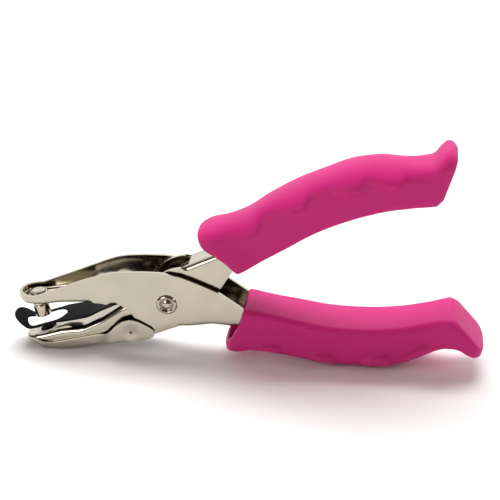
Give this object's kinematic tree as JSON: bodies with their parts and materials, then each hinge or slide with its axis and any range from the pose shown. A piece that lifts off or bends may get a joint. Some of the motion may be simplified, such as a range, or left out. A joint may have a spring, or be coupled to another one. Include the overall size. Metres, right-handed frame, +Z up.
{
  "type": "corner rounder",
  "caption": "Hand plier that nips the corners of paper and card round: crossed steel levers, punch pin, slotted guide plate, swing-down chip catcher and soft grips.",
  "frame": {"origin": "middle of the tool's footprint on the bench", "axes": "X along the tool with the jaws at -X and the handles at +X, Y across the width, Z up"},
  "size_m": [0.1634, 0.0234, 0.0818],
  "materials": {
    "nickel": "bright nickel plate",
    "steel": "turned",
    "black": "blackened",
    "pink": "satin soft vinyl"
  },
  "bodies": {
    "punch_lever": {"punch_frame": "nickel", "punch_pin": "steel", "pin_washer": "nickel", "pivot_rivet": "steel", "side_washers": "steel", "return_spring": "steel", "lower_grip": "pink"},
    "die_lever": {"die_frame": "nickel", "pivot_bush": "steel", "die_ring": "steel", "guide_plate": "black", "guide_rivets": "steel", "catcher_pins": "steel", "upper_grip": "pink"},
    "chip_catcher": {"chip_catcher": "nickel"}
  },
  "joints": [
    {"name": "lever_hinge", "type": "hinge", "parent": "punch_lever", "child": "die_lever", "pos_m": [-0.0258, 0, 0.0211], "axis": [0, 1, 0], "range_deg": [0, 7.6], "stiffness_Nm_per_rad": 0.5, "springref_deg": -20.05, "deforming": ["return_spring"]},
    {"name": "catcher_hinge", "type": "hinge", "parent": "die_lever", "child": "chip_catcher", "pos_m": [-0.0387, 0, 0.0095], "axis": [0, -1, 0], "range_deg": [0, 55]}
  ]
}
